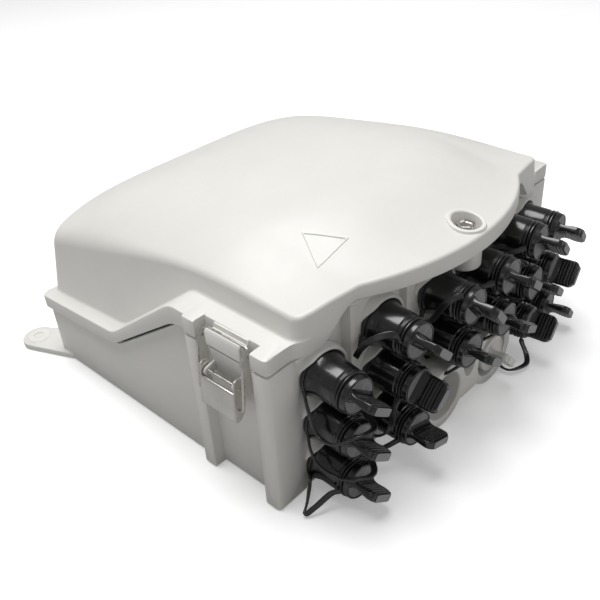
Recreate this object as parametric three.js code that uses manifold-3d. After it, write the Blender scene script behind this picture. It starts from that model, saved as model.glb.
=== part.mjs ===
// Fibre termination box with sixteen capped subscriber ports, millimetres, +Z up.
// The box lies on its back: the wall face is z = 0, the lid faces +Z, the ports face -Y
// and the lid hinge runs along the +Y end. The origin is the centre of the wall face.
import * as THREE from 'three';
import { mergeVertices } from 'three/addons/utils/BufferGeometryUtils.js';
import Module from 'manifold-3d';

const wasm = await Module();
wasm.setup();

// ---- Driving dimensions --------------------------------------------------------------

const gap = 0.3; // clearance between neighbouring pieces
const boxWidth = 300; // over the lid flange
const boxLength = 250; // over the lid flange, ports to hinge
const wall = 3; // moulded wall of both shells
const panelWall = 4; // wall that carries the ports
const farZ = 200; // above everything
const farY = 230; // beyond everything

const frontY = -boxLength / 2;
const rearY = boxLength / 2;
const flangeX = boxWidth / 2;
const flangeHeight = 11.2;
const baseX = flangeX - 3;

// Parting line of the side walls, from the hinge end to the port end.
const partingRear = 44.5;
const partingDip = 50;
const partingFront = 103;
const dipY = 33;
const rampTopY = -45;
const partingRound = 9;
const panelSplitY = -112; // the S shaped front parting line starts here

// Front parting line: low at both sides, high over the ports.
const partingHigh = 122.8;
const riseOuterX = 117;
const riseInnerX = 95;

// Lid crown.
const crownX = 132; // half width of the crown
const crownFootX = 141.5; // half width of the lid wall at its foot
const crownFootZ = 40;
const crownRearY = 113;
const crownFootRearY = 125;
const visorRadius = 155;
const visorCentreY = -7;
const visorKinkX = 86.5;
const visorCornerX = 123;
const visorCornerY = -129;

// Ports: disc plane positions of the dust caps, column by column.
const capReach = 32; // from the port seat to the flat end of a cap
const capRootRadius = 14.5;
const capEndRadius = 11.75;
const columns = [
  { x: 115, y: -157.3, fan: 6, rows: [83.5, 50, 16.5] },
  { x: 69.6, y: -165.3, fan: 4, rows: [97.5, 64, 30.5] },
  { x: 21, y: -171, fan: 1.2, rows: [97, 63.5] },
];
const gripTwists = [36, 35, 35, 45, -45, 15, 50, 35, 38, 30, 46, 40, -45, 46, -45, 45];
const seatRadius = 16;
const boreRadius = 10.4;
const bossDepth = panelWall + 3.2;

// Lid hinge, lock bolt and side latches.
const hingeY = 130;
const hingeZ = 50;
const boltY = -148;
const latchY = -90.2;
const pillarFront = [frontY, frontY + 12];
const pillarRear = [-67.4, -57.4];
const latchPin = { x: 155, z: 88 };
const bailPivot = { x: 157.2, z: 74 };
const bailElbow = { x: 154, z: 103 };
const bailBar = { x: 147.8, z: 113 };
const bailHalf = 18.5;
const wireRadius = 1.1;
const leverHalf = 14.6;
const leverSheet = 1.6;
const catchHalf = 14.2;

// Cable glands and splice tray.
const glandX = 29;
const glandZ = 24.5;
const collarRadius = 23.6;
const openingRadius = 17.8;
const nutRadius = 17.2;
const spigotRadius = 13;
const collarFaceY = -157.5;
const panelFaceY = -137.5;
const trayPinY = -78;
const trayPinZ = 34;

// ---- Materials -----------------------------------------------------------------------

const finish = (color, roughness, metalness = 0) =>
  new THREE.MeshStandardMaterial({ color, roughness, metalness });

const materials = {
  abs: finish(0xdcdad4, 0.42),
  absInner: finish(0xd2d0ca, 0.5),
  rubber: finish(0x171718, 0.35),
  seal: finish(0x3a3b3d, 0.8),
  steel: finish(0xb4b0aa, 0.3, 1),
  brass: finish(0xb08d4a, 0.35, 1),
  adapter: finish(0x1d5a3c, 0.45),
  tray: finish(0x2a2c30, 0.5),
  clear: finish(0xc9d4da, 0.2),
};

// ---- Solid helpers -------------------------------------------------------------------

function solid(geometry) {
  const plain = geometry.index ? geometry.toNonIndexed() : geometry.clone();
  plain.deleteAttribute('normal');
  plain.deleteAttribute('uv');
  const merged = mergeVertices(plain, 1e-4);
  const mesh = new wasm.Mesh({
    numProp: 3,
    vertProperties: new Float32Array(merged.attributes.position.array),
    triVerts: new Uint32Array(merged.index.array),
  });
  return new wasm.Manifold(mesh);
}

function toGeometry(manifold) {
  const mesh = manifold.getMesh();
  const geometry = new THREE.BufferGeometry();
  geometry.setAttribute('position', new THREE.BufferAttribute(mesh.vertProperties, 3));
  geometry.setIndex(new THREE.BufferAttribute(mesh.triVerts, 1));
  geometry.computeVertexNormals();
  return geometry;
}

const join = (first, ...rest) => rest.reduce((sum, piece) => sum.add(piece), first);
const cut = (first, ...rest) => rest.reduce((sum, piece) => sum.subtract(piece), first);

function box(x0, x1, y0, y1, z0, z1) {
  const geometry = new THREE.BoxGeometry(x1 - x0, y1 - y0, z1 - z0);
  geometry.translate((x0 + x1) / 2, (y0 + y1) / 2, (z0 + z1) / 2);
  return solid(geometry);
}

function shapeFrom(points) {
  return new THREE.Shape(points.map(([a, b]) => new THREE.Vector2(a, b)));
}

// Upright prism from an outline in plan.
function prismZ(outline, z0, z1) {
  const shape = outline instanceof THREE.Shape ? outline : shapeFrom(outline);
  const geometry = new THREE.ExtrudeGeometry(shape, {
    depth: z1 - z0,
    bevelEnabled: false,
    curveSegments: 5,
  });
  geometry.translate(0, 0, z0);
  return solid(geometry);
}

// Prism along X from an outline in (y, z).
function prismX(points, x0, x1) {
  const geometry = new THREE.ExtrudeGeometry(shapeFrom(points), {
    depth: x1 - x0,
    bevelEnabled: false,
  });
  geometry.applyMatrix4(new THREE.Matrix4().set(0, 0, 1, x0, 1, 0, 0, 0, 0, 1, 0, 0, 0, 0, 0, 1));
  return solid(geometry);
}

// Prism along Y from an outline in (x, z).
function prismY(points, y0, y1) {
  const geometry = new THREE.ExtrudeGeometry(shapeFrom(points), {
    depth: y1 - y0,
    bevelEnabled: false,
  });
  geometry.applyMatrix4(new THREE.Matrix4().set(1, 0, 0, 0, 0, 0, -1, y1, 0, 1, 0, 0, 0, 0, 0, 1));
  return solid(geometry);
}

function cylinderZ(x, y, z0, z1, radius, sides = 14, topRadius = radius) {
  const geometry = new THREE.CylinderGeometry(topRadius, radius, z1 - z0, sides);
  geometry.rotateX(Math.PI / 2);
  geometry.translate(x, y, (z0 + z1) / 2);
  return solid(geometry);
}

function cylinderY(x, y0, y1, z, radius, sides = 16) {
  const geometry = new THREE.CylinderGeometry(radius, radius, y1 - y0, sides);
  geometry.translate(x, (y0 + y1) / 2, z);
  return solid(geometry);
}

function cylinderX(x0, x1, y, z, radius, sides = 16) {
  const geometry = new THREE.CylinderGeometry(radius, radius, x1 - x0, sides);
  geometry.rotateZ(Math.PI / 2);
  geometry.translate((x0 + x1) / 2, y, z);
  return solid(geometry);
}

// Body of revolution about an axis that points along -Y; profile is [radius, reach].
function turned(profile, sides = 8) {
  const points = profile.map(([radius, reach]) => new THREE.Vector2(radius, reach));
  const geometry = new THREE.LatheGeometry(points, sides);
  geometry.rotateX(Math.PI);
  return solid(orient(geometry));
}

// A lathe whose faces point inwards is turned inside out.
function orient(geometry) {
  const plain = geometry.index ? geometry.toNonIndexed() : geometry;
  const position = plain.attributes.position;
  const a = new THREE.Vector3();
  const b = new THREE.Vector3();
  const c = new THREE.Vector3();
  let volume = 0;
  for (let i = 0; i < position.count; i += 3) {
    a.fromBufferAttribute(position, i);
    b.fromBufferAttribute(position, i + 1);
    c.fromBufferAttribute(position, i + 2);
    volume += a.dot(b.cross(c));
  }
  if (volume < 0) {
    for (let i = 0; i < position.count; i += 3) {
      a.fromBufferAttribute(position, i);
      b.fromBufferAttribute(position, i + 1);
      position.setXYZ(i, b.x, b.y, b.z);
      position.setXYZ(i + 1, a.x, a.y, a.z);
    }
  }
  return plain;
}

const object = new THREE.Group();

function piece(name, manifold, material, parent = object) {
  const mesh = new THREE.Mesh(toGeometry(manifold.asOriginal().simplify(0.01)), material);
  mesh.name = name;
  parent.add(mesh);
  return mesh;
}

const mirrorX = (points) => points.map(([x, y]) => [-x, y]).reverse();

// ---- Shared curves -------------------------------------------------------------------

const smooth = (t) => {
  const s = Math.min(Math.max(t, 0), 1);
  return s * s * (3 - 2 * s);
};

// Side parting line as (y, z) points from the hinge end to the port end.
function partingPoints(offset) {
  const path = new THREE.Path();
  const slope = Math.atan2(partingFront - partingDip, dipY - rampTopY);
  const stepY = partingRound * Math.cos(slope);
  const stepZ = partingRound * Math.sin(slope);
  path.moveTo(farY, partingRear + offset);
  path.lineTo(rearY, partingRear + offset);
  path.lineTo(dipY + partingRound, partingDip - 0.5 + offset);
  path.quadraticCurveTo(dipY, partingDip + offset, dipY - stepY, partingDip + stepZ + offset);
  path.lineTo(rampTopY + stepY, partingFront - stepZ + offset);
  path.quadraticCurveTo(rampTopY, partingFront + offset, rampTopY - partingRound, partingFront + offset);
  path.lineTo(panelSplitY, partingFront + offset);
  return path.getPoints(4).map((p) => [p.x, p.y]);
}

// Front parting line as (x, z) points across the whole width.
function panelPoints(offset) {
  const steps = 6;
  const half = [[farY, partingFront + offset]];
  for (let i = 0; i <= steps; i += 1) {
    const t = i / steps;
    const x = riseOuterX + (riseInnerX - riseOuterX) * t;
    half.push([x, partingFront + (partingHigh - partingFront) * smooth(t) + offset]);
  }
  return [...half, ...mirrorX(half)];
}

// Everything above (or below) the parting lines moved by an offset.
function beyondParting(offset, above) {
  const limit = above ? farZ : -farZ;
  const side = partingPoints(offset);
  const front = panelPoints(offset);
  const sidePart = prismX([...side, [panelSplitY, limit], [farY, limit]], -farY, farY);
  const frontPart = prismY([...front, [-farY, limit], [farY, limit]], -farY, panelSplitY);
  return join(sidePart, frontPart);
}

// Plan of the visor edge.
function frontEdge(x) {
  const side = Math.abs(x);
  if (side <= visorKinkX) return visorCentreY - Math.sqrt(visorRadius ** 2 - side ** 2);
  const kinkY = visorCentreY - Math.sqrt(visorRadius ** 2 - visorKinkX ** 2);
  if (side <= visorCornerX) {
    const t = (side - visorKinkX) / (visorCornerX - visorKinkX);
    return kinkY + (visorCornerY - kinkY) * t;
  }
  return visorCornerY + (frontY - visorCornerY) * smooth((side - visorCornerX) / 12);
}

// Height of the lid's outer surface.
function crownHeight(x, y) {
  const across = Math.abs(x) / crownX;
  const edge = 135.5 - 10 * across ** 2.5;
  const frontLift = 14 * Math.max(0, (-y - 30) / 95) ** 2;
  const rearDrop = 8 * Math.max(0, (y - 50) / 63) ** 2;
  const reach = y > -30 ? 185 : 150;
  const crown = 43 * (1 - ((y + 30) / reach) ** 2);
  const height = 110 + frontLift - rearDrop + crown * (1 - across ** 4.8);
  return edge + (height - edge) * smooth((y - frontEdge(x)) / 70);
}

// Crowned block: a box whose corners follow the lid's plan, draft and crown.
function crownBlock(inset, across, along) {
  const geometry = new THREE.BoxGeometry(2, 2, 1, across, along, 1);
  const position = geometry.attributes.position;
  for (let i = 0; i < position.count; i += 1) {
    const u = Math.sin((position.getX(i) * Math.PI) / 2) * 0.5 + position.getX(i) * 0.5;
    const v = position.getY(i) * 0.5 + 0.5;
    const top = position.getZ(i) > 0;
    const halfX = (top ? crownX : crownFootX) - inset;
    const rear = (top ? crownRearY : crownFootRearY) - inset;
    const x = u * halfX;
    const front = frontEdge(x) + inset;
    const y = front + (rear - front) * v;
    const z = top ? crownHeight(x, y) - inset : crownFootZ - inset;
    position.setXYZ(i, x, y, z);
  }
  return solid(geometry);
}

// ---- Base shell ----------------------------------------------------------------------

// Plan of the base, moved inwards by an inset; the port panel steps out to the middle.
function basePlan(inset, frontInset) {
  const side = baseX - inset;
  const rear = rearY - 1 - inset;
  const corner = 12 - inset;
  const steps = [
    [44 - frontInset, -137.5 + frontInset],
    [46 - frontInset, -132 + frontInset],
    [90 - frontInset, -132 + frontInset],
    [92 - frontInset, -124 + frontInset],
    [side, -124 + frontInset],
  ];
  const shape = new THREE.Shape();
  const left = mirrorX(steps);
  shape.moveTo(left[0][0], left[0][1]);
  left.slice(1).forEach(([x, y]) => shape.lineTo(x, y));
  steps.forEach(([x, y]) => shape.lineTo(x, y));
  shape.lineTo(side, rear - corner);
  shape.quadraticCurveTo(side, rear, side - corner, rear);
  shape.lineTo(-side + corner, rear);
  shape.quadraticCurveTo(-side, rear, -side, rear - corner);
  shape.closePath();
  return shape;
}

// Every port as { x, y, z, fan } at its seat, numbered left to right and top to bottom.
function portSeats() {
  const seats = [];
  const order = [...columns.map((c) => ({ ...c, sign: -1 })), ...columns.map((c) => ({ ...c, sign: 1 })).reverse()];
  for (const column of order) {
    const fan = THREE.MathUtils.degToRad(column.fan) * column.sign;
    for (const z of column.rows) {
      seats.push({
        x: column.sign * column.x - capReach * Math.sin(fan),
        y: column.y + capReach * Math.cos(fan),
        z,
        fan,
      });
    }
  }
  return seats;
}

const seats = portSeats();

// Places a solid that was made along -Y from the origin onto a port seat.
function onSeat(manifold, seat) {
  return manifold
    .rotate([0, 0, THREE.MathUtils.radToDeg(seat.fan)])
    .translate([seat.x, seat.y, seat.z]);
}

function pillar(side, [y0, y1]) {
  const outline = [
    [baseX - 1, 0],
    [153.2, 0],
    [151.2, partingFront - gap],
    [baseX - 1, partingFront - gap],
  ];
  const points = side > 0 ? outline : mirrorX(outline);
  return prismY(points, y0, y1);
}

function mountingEar(side) {
  const ear = join(
    cylinderZ(side * 151, 150, 0, 5, 13, 20),
    prismZ(
      side > 0
        ? [[110, 123], [147, 108], [164, 148], [140, 158]]
        : mirrorX([[110, 123], [147, 108], [164, 148], [140, 158]]),
      0,
      5,
    ),
  );
  return cut(ear, cylinderZ(side * 151, 150, -1, 6, 4.5, 16));
}

// Dished boss under the lid catch; its lower edge is the knuckle of the lever pin.
function addLatchKnuckle(shell, side) {
  const half = leverHalf - leverSheet - gap;
  const outline = [
    [baseX - 1, 79],
    [latchPin.x - 2, latchPin.z - 2.5],
    [latchPin.x - 1, latchPin.z + 2.5],
    [151.2, 96],
    [151.4, partingFront - gap],
    [baseX - 1, partingFront - gap],
  ];
  const block = prismY(side > 0 ? outline : mirrorX(outline), latchY - half, latchY + half);
  const knuckle = cylinderY(side * latchPin.x, latchY - half, latchY + half, latchPin.z, 3.2, 12);
  const hole = cylinderY(side * latchPin.x, latchY - 20, latchY + 20, latchPin.z, 1.5 + gap, 10);
  return cut(join(shell, block, knuckle), hole);
}

function hingeLugs(offsets, z0, length) {
  const ledge = partingRear - gap;
  return offsets.map((x) =>
    join(
      cylinderX(x, x + length, hingeY, hingeZ, 4.5, 14),
      box(x, x + length, rearY - 4, hingeY, z0, ledge),
      box(x, x + length, rearY + gap, hingeY, ledge - 1, hingeZ),
    ),
  );
}

function traySupports() {
  return [-1, 1].map((side) => {
    const x = side > 0 ? 76 : -82;
    return join(
      box(x, x + 6, trayPinY - 5, trayPinY + 5, wall - 1, trayPinZ),
      cylinderX(x, x + 6, trayPinY, trayPinZ, 5, 12),
    );
  });
}

function baseShell() {
  const outer = prismZ(basePlan(0, 0), 0, 150);
  const boltBoss = join(
    cylinderZ(0, boltY, 109, partingHigh - gap, 10.5, 20),
    box(-8, 8, boltY, -134, 109, partingHigh - gap),
  );
  let shell = join(outer, boltBoss);
  shell = cut(shell, prismZ(basePlan(wall, panelWall), wall, farZ), beyondParting(0, true));
  for (const seat of seats) {
    const boss = onSeat(cylinderY(0, 0, bossDepth, 0, seatRadius, 12), seat);
    shell = join(shell, boss);
  }
  for (const x of [-glandX, glandX]) {
    shell = join(shell, cylinderY(x, -151.2, -135, glandZ, spigotRadius, 16));
  }
  for (const side of [-1, 1]) {
    shell = join(shell, pillar(side, pillarFront), pillar(side, pillarRear), mountingEar(side));
    shell = addLatchKnuckle(shell, side);
  }
  const lugs = hingeLugs([-112, -88, 76, 100], 30, 12);
  shell = join(shell, ...lugs, ...traySupports());
  for (const seat of seats) {
    shell = cut(shell, onSeat(cylinderY(0, -1, bossDepth + 1, 0, boreRadius + 0.4, 12), seat));
  }
  for (const x of [-glandX, glandX]) {
    shell = cut(shell, cylinderY(x, -153, -120, glandZ, 10.6, 16));
  }
  return cut(
    shell,
    cylinderZ(0, boltY, 111 - gap, farZ, 5 + gap, 16),
    cylinderX(-113, -75, hingeY, hingeZ, 2 + gap, 12),
    cylinderX(75, 113, hingeY, hingeZ, 2 + gap, 12),
    cylinderX(-80, 80, trayPinY, trayPinZ, 2 + gap, 12),
  );
}

// ---- Lid shell -----------------------------------------------------------------------

function lidPlan() {
  const rear = 14;
  const front = 4;
  const shape = new THREE.Shape();
  shape.moveTo(-flangeX + front, frontY);
  shape.lineTo(flangeX - front, frontY);
  shape.quadraticCurveTo(flangeX, frontY, flangeX, frontY + front);
  shape.lineTo(flangeX, rearY - rear);
  shape.quadraticCurveTo(flangeX, rearY, flangeX - rear, rearY);
  shape.lineTo(-flangeX + rear, rearY);
  shape.quadraticCurveTo(-flangeX, rearY, -flangeX, rearY - rear);
  shape.lineTo(-flangeX, frontY + front);
  shape.quadraticCurveTo(-flangeX, frontY, -flangeX + front, frontY);
  return shape;
}

// Flange details over one latch: caps on the pillars, a notch and the catch block.
function addLatchCatch(lid, side) {
  const z0 = partingFront + gap;
  const z1 = partingFront + flangeHeight;
  const span = (near, far, y0, y1, bottom, top) =>
    side > 0 ? box(near, far, y0, y1, bottom, top) : box(-far, -near, y0, y1, bottom, top);
  let result = join(
    lid,
    span(flangeX - 2, 152.4, pillarFront[0] + 1, pillarFront[1], z0, z1),
    span(flangeX - 2, 152.4, pillarRear[0], pillarRear[1], z0, z1),
  );
  result = cut(result, span(143, farY, pillarFront[1], pillarRear[0], z0 - 1, z1 + 1));
  const catchBlock = span(141, 151.4, latchY - catchHalf, latchY + catchHalf, z0, z1);
  const floor = bailBar.z - wireRadius - gap;
  const groove = span(144, 149.3, latchY - catchHalf - 1, latchY + catchHalf + 1, floor, z1 + 1);
  return join(result, cut(catchBlock, groove));
}

function lidShell() {
  const band = prismX(
    [...partingPoints(gap + 0.1), ...partingPoints(flangeHeight).reverse()],
    -farY,
    farY,
  );
  const frontBand = box(-farY, farY, -farY, panelSplitY + 1, partingFront, partingFront + flangeHeight);
  const plan = prismZ(lidPlan(), 0, farZ);
  const flange = join(band, frontBand).intersect(plan);
  const below = beyondParting(gap + 0.1, false);
  let lid = cut(join(flange, crownBlock(0, 16, 12)), below);
  const floorTop = panelPoints(gap + panelWall);
  const panelRoof = prismY([...floorTop, [-farY, -farZ], [farY, -farZ]], -farY, -116);
  lid = cut(lid, cut(crownBlock(wall, 14, 10), panelRoof));
  lid = join(lid, cylinderZ(0, boltY, partingHigh + gap + 0.1, 138, 11.7, 24));
  lid = cut(lid, cylinderZ(0, boltY, 128, farZ, 9, 20), cylinderZ(0, boltY, 110, 130, 3.4, 12));
  for (const side of [-1, 1]) lid = addLatchCatch(lid, side);
  for (const x of [-99.7, 88.3]) {
    const lug = join(
      cylinderX(x, x + 11.4, hingeY, hingeZ, 4.5, 14),
      box(x, x + 11.4, rearY - 4, hingeY, hingeZ, hingeZ + 4.5),
    );
    lid = cut(join(lid, lug), cylinderX(x - 1, x + 12.4, hingeY, hingeZ, 2 + gap, 12));
  }
  return lid;
}

function lidGasket() {
  const ring = cut(
    prismZ(basePlan(wall + gap, panelWall + gap), 0, farZ),
    prismZ(basePlan(wall + gap + 1.5, panelWall + gap + 1.5), -1, farZ + 1),
  );
  return cut(ring, beyondParting(0, true), beyondParting(-4, false));
}

// ---- Fasteners -----------------------------------------------------------------------

function lockBolt() {
  const head = cylinderZ(0, 0, 128 + gap, 137, 5.6, 5);
  const shank = cylinderZ(0, 0, 112, 129, 3, 12);
  return join(head, shank, cylinderZ(0, 0, 128 + gap, 130, 7, 16));
}

function boltInsert() {
  return cut(cylinderZ(0, 0, 111, 122, 5, 16), cylinderZ(0, 0, 110, 123, 3.3, 12));
}

// ---- Ports and caps ------------------------------------------------------------------

// Bulkhead adapter: inner barrel with its lock nut, outer flange and plug snout.
function portAdapter() {
  const flange = 2.6;
  return turned([
    [5, -24],
    [9.4, -24],
    [9.4, -13],
    [13, -13],
    [13, -bossDepth - gap],
    [10, -bossDepth - gap],
    [10, gap],
    [14, gap],
    [14, gap + flange],
    [9, gap + flange],
    [9, 24],
    [5, 24],
    [5, -24],
  ]);
}

// Push-on dust cap: flared root ring, tapered sleeve, tether groove and finger grip.
function dustCap() {
  const root = 3.2;
  const end = capReach;
  const sleeve = turned(
    [
      [9.9, root],
      [capRootRadius, root],
      [capRootRadius, root + 2.6],
      [13.3, root + 3.2],
      [12.2, end - 6],
      [10.9, end - 5.2],
      [capEndRadius, end - 3],
      [capEndRadius, end],
      [0, end],
      [0, end - 4],
      [9.9, end - 5],
      [9.9, root],
    ],
    10,
  );
  const grip = new THREE.Shape();
  const half = 10.2;
  const tip = 19;
  const round = 5;
  grip.moveTo(-half, 0);
  grip.lineTo(half, 0);
  grip.lineTo(half, tip - round);
  grip.quadraticCurveTo(half, tip, half - round, tip);
  grip.lineTo(-half + round, tip);
  grip.quadraticCurveTo(-half, tip, -half, tip - round);
  grip.closePath();
  const blade = new THREE.ExtrudeGeometry(grip, { depth: 4.6, bevelEnabled: false, curveSegments: 3 });
  blade.translate(0, 0, -2.3);
  blade.rotateX(Math.PI);
  blade.translate(0, -end + 1, 0);
  return join(sleeve, solid(blade));
}

// ---- Cable glands --------------------------------------------------------------------

// Two collars bridged by a web; it guards both glands and stands on the port panel.
function glandPlate() {
  const back = panelFaceY - gap;
  const collar = (x) => cylinderY(x, collarFaceY, back, glandZ, collarRadius, 28);
  const opening = (x) => cylinderY(x, collarFaceY - 1, back + 1, glandZ, openingRadius, 20);
  const web = box(-13, 13, collarFaceY, back, 13, 26);
  return cut(join(collar(-glandX), collar(glandX), web), opening(-glandX), opening(glandX));
}

function glandNut() {
  const depth = 14.5;
  let nut = turned(
    [
      [spigotRadius + gap, gap],
      [nutRadius, gap],
      [nutRadius, depth - 1.5],
      [nutRadius - 1.5, depth + gap],
      [11, depth + gap],
      [11, depth + gap - 0.6],
      [spigotRadius + gap, depth + gap - 0.6],
      [spigotRadius + gap, gap],
    ],
    16,
  );
  const notches = 6;
  for (let i = 0; i < notches; i += 1) {
    const angle = (i * 2 * Math.PI) / notches;
    const x = Math.cos(angle) * (nutRadius + 0.8);
    const z = Math.sin(angle) * (nutRadius + 0.8);
    nut = cut(nut, cylinderY(x, -depth - 1, -4, z, 2.4, 6));
  }
  return nut;
}

function glandSeal(plugHole) {
  const body = turned([[0, -6], [10.2, -6], [10.2, 13.5], [0, 13.5]], 14);
  return plugHole ? cut(body, cylinderY(0, -20, 10, 0, 7.6, 12)) : body;
}

// Blanking plug: shank in the seal, broad head inside the collar and a finger grip.
function blankingPlug() {
  const head = -collarFaceY + panelFaceY + 1.5;
  const body = turned(
    [[0, -4], [7, -4], [7, head - 6], [12.4, head - 6], [12.4, head], [0, head]],
    14,
  );
  const grip = box(-2.3, 2.3, -head - 15, -head + 1, -9.6, 9.6);
  return join(body, grip).rotate([0, 32, 0]);
}

// ---- Side latches --------------------------------------------------------------------

// Lever: two arms on the base pin joined by the finger plate, right-hand side.
function latchLever() {
  const arm = [
    [152.2, 91],
    [157.8, 91],
    [160, 80],
    [160.3, 70],
    [158.4, 64],
    [154.6, 64.6],
    [152.2, 83],
  ];
  const arms = [-1, 1].map((end) => {
    const outer = latchY + end * leverHalf;
    const inner = outer - end * leverSheet;
    return prismY(arm, Math.min(outer, inner), Math.max(outer, inner));
  });
  const face = [[154.6, 83.6], [156.2, 83.8], [159, 65.6], [157.4, 65.4]];
  const plate = prismY(face, latchY - leverHalf + 1, latchY + leverHalf - 1);
  const reach = 25;
  return cut(
    join(arms[0], arms[1], plate),
    cylinderY(latchPin.x, latchY - reach, latchY + reach, latchPin.z, 1.5 + gap, 12),
    cylinderY(bailPivot.x, latchY - reach, latchY - leverHalf + leverSheet, bailPivot.z, wireRadius + gap, 10),
    cylinderY(bailPivot.x, latchY + leverHalf - leverSheet, latchY + reach, bailPivot.z, wireRadius + gap, 10),
  );
}

// Wire bail: from one lever arm up around the knuckle, over the catch and down again.
function latchBail() {
  const bend = 3;
  const inner = leverHalf - leverSheet + 0.4;
  const at = (y, place) => new THREE.Vector3(place.x, latchY + y, place.z);
  const corners = [
    at(-inner, bailPivot),
    at(-bailHalf, bailPivot),
    at(-bailHalf, bailElbow),
    at(-bailHalf, bailBar),
    at(bailHalf, bailBar),
    at(bailHalf, bailElbow),
    at(bailHalf, bailPivot),
    at(inner, bailPivot),
  ];
  const path = new THREE.CurvePath();
  let from = corners[0];
  for (let i = 1; i < corners.length - 1; i += 1) {
    const corner = corners[i];
    const before = corner.clone().add(corners[i - 1].clone().sub(corner).setLength(bend));
    const after = corner.clone().add(corners[i + 1].clone().sub(corner).setLength(bend));
    path.add(new THREE.LineCurve3(from, before));
    path.add(new THREE.QuadraticBezierCurve3(before, corner, after));
    from = after;
  }
  path.add(new THREE.LineCurve3(from, corners[corners.length - 1]));
  const section = new THREE.Shape();
  section.absarc(0, 0, wireRadius, 0, 2 * Math.PI);
  const geometry = new THREE.ExtrudeGeometry(section, {
    extrudePath: path,
    steps: 40,
    curveSegments: 2,
    bevelEnabled: false,
  });
  return solid(orient(geometry));
}

function latchPinRod() {
  const half = leverHalf + 1.6;
  return cylinderY(latchPin.x, latchY - half, latchY + half, latchPin.z, 1.5, 12);
}

// ---- Splice tray and cable fittings --------------------------------------------------

function spliceTray() {
  const body = cut(box(-72, 72, -72, 28, 29, 41), box(-70.4, 70.4, -70.4, 26.4, 30.6, 42));
  const arms = [-70, 62].map((x) => box(x, x + 8, trayPinY - 3, -70.4, 29.5, 38.5));
  const ribs = [-24, -16, -8, 0].map((y) => box(-34, -4, y, y + 2, 30, 36));
  const spools = [-40, 40].map((x) => cylinderZ(x, 4, 30, 37, 13, 16));
  const tray = join(body, ...arms, ...ribs, ...spools);
  return cut(tray, cylinderX(-75, 75, trayPinY, trayPinZ, 2 + gap, 12));
}

function trayCover() {
  return cut(box(-72, 72, -71, 28, 41 + gap, 42.8 + gap), cylinderZ(0, 20, 40, 44, 5, 12));
}

function splitterModule() {
  return join(box(-30, 30, 62, 76, wall + gap, 12), box(-36, -30, 66, 72, 6, 10));
}

function cableClamp() {
  const saddle = cut(box(-17, 17, -6, 6, wall + gap, 24), cylinderY(0, -7, 7, 24, 9, 14));
  return cut(saddle, cylinderZ(-13, 0, 0, 30, 2, 10), cylinderZ(13, 0, 0, 30, 2, 10));
}

// ---- Assembly ------------------------------------------------------------------------

piece('base_shell', baseShell(), materials.abs);
piece('lid_shell', lidShell(), materials.abs);
piece('lid_gasket', lidGasket(), materials.seal);
piece('hinge_pin_left', cylinderX(-111, -77, hingeY, hingeZ, 2, 12), materials.steel);
piece('hinge_pin_right', cylinderX(77, 111, hingeY, hingeZ, 2, 12), materials.steel);

const boltGroup = new THREE.Group();
boltGroup.position.set(0, boltY, 0);
object.add(boltGroup);
piece('lock_bolt', lockBolt(), materials.steel, boltGroup);
piece('bolt_insert', boltInsert(), materials.brass, boltGroup);

const latches = [
  ['right', (manifold) => manifold],
  ['left', (manifold) => manifold.mirror([1, 0, 0])],
];
for (const [side, place] of latches) {
  piece(`${side}_latch_lever`, place(latchLever()), materials.steel);
  piece(`${side}_latch_bail`, place(latchBail()), materials.steel);
  piece(`${side}_latch_pin`, place(latchPinRod()), materials.steel);
}

seats.forEach((seat, index) => {
  const number = String(index + 1).padStart(2, '0');
  const port = new THREE.Group();
  port.position.set(seat.x, seat.y, seat.z);
  port.rotation.z = seat.fan;
  object.add(port);
  piece(`adapter_${number}`, portAdapter(), materials.adapter, port);
  const cap = piece(`dust_cap_${number}`, dustCap(), materials.rubber, port);
  cap.rotation.y = THREE.MathUtils.degToRad(gripTwists[index]);
});

piece('gland_plate', glandPlate(), materials.abs);
for (const [side, x] of [['left', -glandX], ['right', glandX]]) {
  const gland = new THREE.Group();
  gland.position.set(x, panelFaceY, glandZ);
  object.add(gland);
  piece(`gland_nut_${side}`, glandNut(), materials.abs, gland);
  piece(`gland_seal_${side}`, glandSeal(side === 'right'), materials.seal, gland);
  const clamp = piece(`cable_clamp_${side}`, cableClamp(), materials.steel);
  clamp.position.set(x, -104, 0);
  if (side === 'right') piece('blanking_plug', blankingPlug(), materials.abs, gland);
}

piece('splice_tray', spliceTray(), materials.tray);
piece('splice_tray_cover', trayCover(), materials.clear);
piece('splice_tray_pin', cylinderX(-79, 79, trayPinY, trayPinZ, 2, 12), materials.steel);
piece('splitter_module', splitterModule(), materials.absInner);

export default object;
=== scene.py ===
"""Visual model of the fibre termination box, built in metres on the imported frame.

Lengths below are in millimetres and are scaled once, when a mesh is made.
"""
import math

import bmesh
import bpy
from mathutils import Matrix, Vector


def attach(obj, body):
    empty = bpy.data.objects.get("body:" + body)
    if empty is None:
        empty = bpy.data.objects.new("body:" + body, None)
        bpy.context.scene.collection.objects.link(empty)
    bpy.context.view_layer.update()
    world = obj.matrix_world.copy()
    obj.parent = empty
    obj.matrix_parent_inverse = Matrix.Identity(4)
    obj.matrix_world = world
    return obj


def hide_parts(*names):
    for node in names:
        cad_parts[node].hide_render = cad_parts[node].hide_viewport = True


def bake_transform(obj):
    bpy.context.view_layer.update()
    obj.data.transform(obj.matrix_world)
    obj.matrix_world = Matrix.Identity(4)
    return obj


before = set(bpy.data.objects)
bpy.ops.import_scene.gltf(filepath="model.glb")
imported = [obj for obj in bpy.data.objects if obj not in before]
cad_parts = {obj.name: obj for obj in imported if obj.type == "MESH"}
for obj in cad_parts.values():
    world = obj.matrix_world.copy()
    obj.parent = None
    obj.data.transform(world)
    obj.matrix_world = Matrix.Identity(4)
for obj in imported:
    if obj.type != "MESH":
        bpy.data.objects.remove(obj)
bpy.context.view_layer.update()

MM = 0.001

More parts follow.
